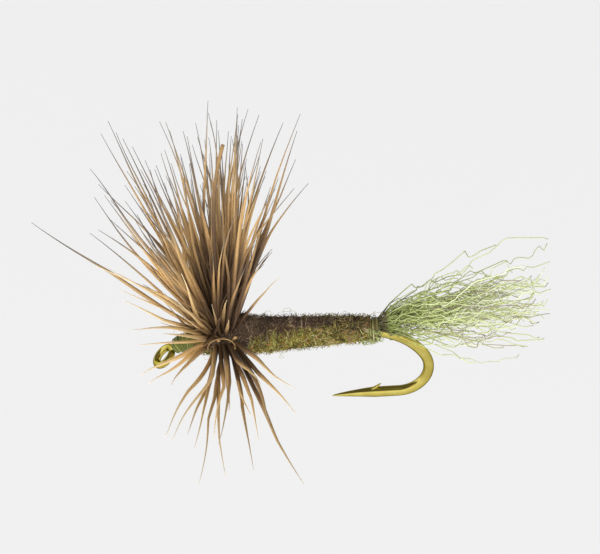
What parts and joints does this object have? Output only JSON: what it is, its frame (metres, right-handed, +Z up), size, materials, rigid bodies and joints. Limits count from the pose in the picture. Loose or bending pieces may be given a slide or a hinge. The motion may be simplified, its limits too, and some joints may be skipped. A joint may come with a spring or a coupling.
{
  "type": "dry fly",
  "caption": "Dry fly on a bronze hook with a turned-down eye, an olive dubbed body, an upright fan wing of deer hair and a crinkled trailing shuck.",
  "frame": {"origin": "centre of the hook eye's hole", "axes": "+X back along the shank to the bend, +Z up as the fly floats, the hook's middle plane is Y = 0, left is -Y"},
  "size_m": [0.0197, 0.0203, 0.0135],
  "materials": {
    "hook_wire": "bronze lacquer over steel wire, glossy",
    "thread": "waxed tying thread",
    "green_thread": "tying thread soaked in cement, satin",
    "olive_dubbing": "spun olive fur, fuzzy",
    "brown_dubbing": "spun dark brown fur, fuzzy",
    "yarn": "crinkled pale green synthetic fibre",
    "deer_hair": "deer hair, dark at the root and the tip, tan between",
    "cement": "clear head cement"
  },
  "bodies": {
    "root": {"hook": "hook_wire", "thread_base": "thread", "shuck_butts": "yarn", "shuck_wraps": "thread", "abdomen_dubbing": "olive_dubbing", "thorax_dubbing": "brown_dubbing", "wing_butts": "deer_hair", "wing_wraps": "thread", "thread_dam": "thread", "front_dubbing": "olive_dubbing", "thread_head": "green_thread", "whip_finish": "green_thread", "head_cement": "cement"},
    "wing_left": {"wing_lock_left": "deer_hair"},
    "wing_upper_left": {"wing_lock_upper_left": "deer_hair"},
    "wing_top": {"wing_lock_top": "deer_hair"},
    "wing_upper_right": {"wing_lock_upper_right": "deer_hair"},
    "wing_right": {"wing_lock_right": "deer_hair"},
    "shuck": {"trailing_shuck": "yarn"}
  },
  "joints": [
    {"name": "wing_top_flex", "type": "hinge", "parent": "root", "child": "wing_top", "pos_m": [0.00243, 0, 0.00114], "axis": [0, 1, 0], "range_deg": [-10, 40], "stiffness_Nm_per_rad": 0.00001},
    {"name": "wing_left_flex", "type": "hinge", "parent": "root", "child": "wing_left", "pos_m": [0.00243, -0.0004, 0.00085], "axis": [0, 0.309, 0.9511], "range_deg": [-10, 40], "stiffness_Nm_per_rad": 0.00001},
    {"name": "wing_upper_left_flex", "type": "hinge", "parent": "root", "child": "wing_upper_left", "pos_m": [0.00243, -0.00025, 0.00106], "axis": [0, 0.809, 0.5878], "range_deg": [-10, 40], "stiffness_Nm_per_rad": 0.00001},
    {"name": "wing_upper_right_flex", "type": "hinge", "parent": "root", "child": "wing_upper_right", "pos_m": [0.00243, 0.00025, 0.00106], "axis": [0, 0.809, -0.5878], "range_deg": [-10, 40], "stiffness_Nm_per_rad": 0.00001},
    {"name": "wing_right_flex", "type": "hinge", "parent": "root", "child": "wing_right", "pos_m": [0.00243, 0.0004, 0.00085], "axis": [0, 0.309, -0.9511], "range_deg": [-10, 40], "stiffness_Nm_per_rad": 0.00001},
    {"name": "shuck_flex", "type": "hinge", "parent": "root", "child": "shuck", "pos_m": [0.00879, 0, 0.00118], "axis": [0, 0, 1], "range_deg": [-25, 25], "stiffness_Nm_per_rad": 0.00001}
  ],
  "couplings": [
    {"joint": "wing_left_flex", "follows": "wing_top_flex", "ratio": 1},
    {"joint": "wing_upper_left_flex", "follows": "wing_top_flex", "ratio": 1},
    {"joint": "wing_upper_right_flex", "follows": "wing_top_flex", "ratio": 1},
    {"joint": "wing_right_flex", "follows": "wing_top_flex", "ratio": 1}
  ]
}
